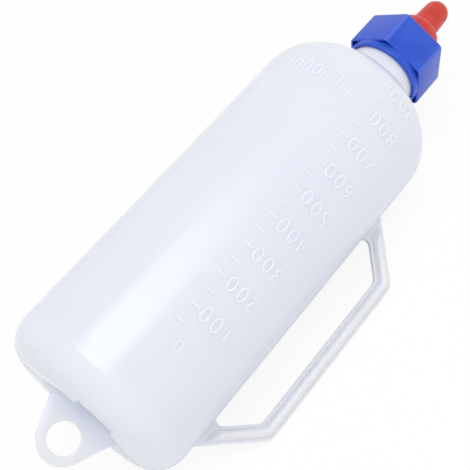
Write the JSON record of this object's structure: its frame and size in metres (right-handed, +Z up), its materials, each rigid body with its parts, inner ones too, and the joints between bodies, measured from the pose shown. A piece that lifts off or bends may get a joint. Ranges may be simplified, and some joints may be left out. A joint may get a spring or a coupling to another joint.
{
  "type": "lamb feeding bottle",
  "caption": "Moulded feeding bottle with a loop handle, a hanging tab, a hexagonal screw cap and a rubber teat, lying on its side.",
  "frame": {"origin": "on the floor under the middle of the bottle's box, as it lies on its side", "axes": "+X along the bottle's axis from the base to the teat, +Z up; the handle points to -Y and down, with its side on the floor"},
  "size_m": [0.3022, 0.1006, 0.0899],
  "materials": {
    "polyethylene": "translucent milky white, satin",
    "cap_plastic": "semi-gloss blue",
    "teat_rubber": "satin red rubber"
  },
  "bodies": {
    "bottle": {"bottle": "polyethylene"},
    "teat": {"teat": "teat_rubber"},
    "cap": {"cap": "cap_plastic"}
  },
  "joints": [
    {"name": "teat_lift", "type": "slide", "parent": "bottle", "child": "teat", "axis": [1, 0, 0], "range_m": [0, 0.00675]},
    {"name": "cap_turn", "type": "hinge", "parent": "teat", "child": "cap", "pos_m": [0.10719, 0.00532, 0.04496], "axis": [1, 0, 0], "range_deg": [0, 540]}
  ],
  "couplings": [
    {"joint": "teat_lift", "follows": "cap_turn", "m_per_rad": 0.000716}
  ]
}
